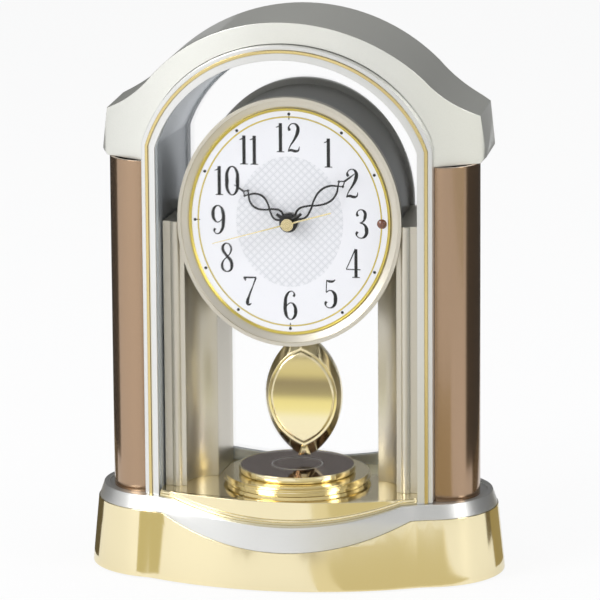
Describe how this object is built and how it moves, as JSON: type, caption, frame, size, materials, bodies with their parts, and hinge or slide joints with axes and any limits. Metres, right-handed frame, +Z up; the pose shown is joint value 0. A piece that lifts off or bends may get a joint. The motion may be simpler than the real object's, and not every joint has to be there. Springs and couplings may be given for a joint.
{
  "type": "desk_pendulum_clock",
  "caption": "Mantel clock with an oval dial, an arched see-through case with bronze side columns, a gold base and an almond-shaped pendulum that swings over a round mirror pedestal",
  "frame": {"origin": "bottom centre of the clock, on the table", "axes": "+X to the right seen from the front, +Y to the back, +Z up"},
  "size_m": [0.223, 0.1036, 0.3013],
  "materials": {
    "ballast_iron": "painted",
    "barrel_grey": "dark metallic grey paint",
    "black_plastic": "moulded",
    "board_green": "solder mask",
    "brass_train": "cut and polished",
    "bronze_gloss": "glossy metallic bronze",
    "cell_skin": "printed film",
    "champagne_frame": "satin champagne paint",
    "clear_pane": "clear",
    "coil_copper": "enamelled copper wire",
    "dial_white": "matt white with a fine pattern",
    "foot_rubber": "soft",
    "gold_plate": "polished gold plating",
    "grey_plastic": "moulded",
    "hand_black": "satin black",
    "liner_silver": "satin silver grey paint",
    "mirror_dark": "dark bronze mirror",
    "movement_white": "moulded",
    "pearl_champagne": "pearl champagne paint",
    "satin_silver": "satin silver paint",
    "sensor_brown": "tinted clear",
    "steel_parts": "bright"
  },
  "bodies": {
    "root": {"base_skirt": "gold_plate", "base_rim": "satin_silver", "base_deck": "gold_plate", "bottom_cover": "black_plastic", "base_feet": "foot_rubber", "base_weight": "ballast_iron", "base_screws": "steel_parts", "column_left": "bronze_gloss", "column_right": "bronze_gloss", "hood": "pearl_champagne", "bezel_frame": "satin_silver", "bezel_bead": "gold_plate", "front_pane": "clear_pane", "case_liner": "liner_silver", "rear_frame": "liner_silver", "rear_window": "clear_pane", "dial_frame": "champagne_frame", "dial_housing": "barrel_grey", "dial_ring": "gold_plate", "dial_plate": "dial_white", "sensor_lens": "sensor_brown", "dial_nut": "steel_parts", "pedestal_base": "gold_plate", "pedestal_top": "gold_plate", "pedestal_mirror": "mirror_dark", "movement_case": "movement_white", "movement_cover": "movement_white", "movement_plate": "grey_plastic", "circuit_board": "board_green", "stepper_coil": "coil_copper", "stator_plate": "steel_parts", "battery_cells": "cell_skin", "battery_tray": "black_plastic", "battery_contacts": "steel_parts", "rear_cover": "grey_plastic", "housing_screws": "steel_parts", "pendulum_pivot": "black_plastic", "drive_coil": "coil_copper", "door_pin": "steel_parts"},
    "hour_body": {"hour_wheel": "brass_train", "hour_hand": "hand_black"},
    "centre_body": {"centre_wheel": "brass_train", "minute_hand": "hand_black"},
    "second_body": {"second_wheel": "brass_train", "second_hand": "gold_plate"},
    "third_body": {"third_wheel": "brass_train"},
    "minute_wheel_body": {"minute_wheel": "brass_train"},
    "fifth_body": {"fifth_wheel": "movement_white"},
    "rotor_body": {"rotor": "grey_plastic"},
    "pendulum_body": {"pendulum_rod": "steel_parts", "pendulum_bob": "gold_plate", "bob_face": "gold_plate", "bob_tip": "gold_plate", "bob_hanger": "black_plastic", "pendulum_magnet": "steel_parts"},
    "set_button_body": {"set_button": "black_plastic"},
    "receive_button_body": {"receive_button": "black_plastic"},
    "reset_button_body": {"reset_button": "black_plastic"},
    "door_body": {"battery_door": "grey_plastic"}
  },
  "joints": [
    {"name": "second_spin", "type": "hinge", "parent": "root", "child": "second_body", "pos_m": [0, -0.019, 0.1918], "axis": [0, 1, 0], "continuous": true},
    {"name": "third_wheel_spin", "type": "hinge", "parent": "root", "child": "third_body", "pos_m": [0, -0.003, 0.20115], "axis": [0, 1, 0], "continuous": true},
    {"name": "minute_spin", "type": "hinge", "parent": "root", "child": "centre_body", "pos_m": [0, -0.0174, 0.1918], "axis": [0, 1, 0], "continuous": true},
    {"name": "minute_wheel_spin", "type": "hinge", "parent": "root", "child": "minute_wheel_body", "pos_m": [0.0072, -0.0075, 0.1918], "axis": [0, 1, 0], "continuous": true},
    {"name": "hour_spin", "type": "hinge", "parent": "root", "child": "hour_body", "pos_m": [0, -0.0154, 0.1918], "axis": [0, 1, 0], "continuous": true},
    {"name": "fifth_wheel_spin", "type": "hinge", "parent": "root", "child": "fifth_body", "pos_m": [-0.0072, 0.001, 0.1918], "axis": [0, 1, 0], "continuous": true},
    {"name": "rotor_spin", "type": "hinge", "parent": "root", "child": "rotor_body", "pos_m": [-0.01215, 0, 0.18685], "axis": [0, 1, 0], "continuous": true},
    {"name": "pendulum_swing", "type": "hinge", "parent": "root", "child": "pendulum_body", "pos_m": [0, 0.01525, 0.19], "axis": [0, 1, 0], "range_deg": [-2.4, 5.6]},
    {"name": "set_button_press", "type": "slide", "parent": "root", "child": "set_button_body", "axis": [0, -1, 0], "range_m": [0, 0.0009], "stiffness_N_per_m": 400},
    {"name": "receive_button_press", "type": "slide", "parent": "root", "child": "receive_button_body", "axis": [0, -1, 0], "range_m": [0, 0.0009], "stiffness_N_per_m": 400},
    {"name": "reset_button_press", "type": "slide", "parent": "root", "child": "reset_button_body", "axis": [0, -1, 0], "range_m": [0, 0.0009], "stiffness_N_per_m": 400},
    {"name": "battery_door_hinge", "type": "hinge", "parent": "root", "child": "door_body", "pos_m": [0.0315, 0.0486, 0.161], "axis": [-1, 0, 0], "range_deg": [0, 95]}
  ],
  "couplings": [
    {"joint": "third_wheel_spin", "follows": "second_spin", "ratio": -0.13333},
    {"joint": "minute_spin", "follows": "second_spin", "ratio": 0.016667},
    {"joint": "minute_wheel_spin", "follows": "second_spin", "ratio": -0.0055556},
    {"joint": "hour_spin", "follows": "second_spin", "ratio": 0.0013889},
    {"joint": "fifth_wheel_spin", "follows": "second_spin", "ratio": -5},
    {"joint": "rotor_spin", "follows": "second_spin", "ratio": 30}
  ]
}
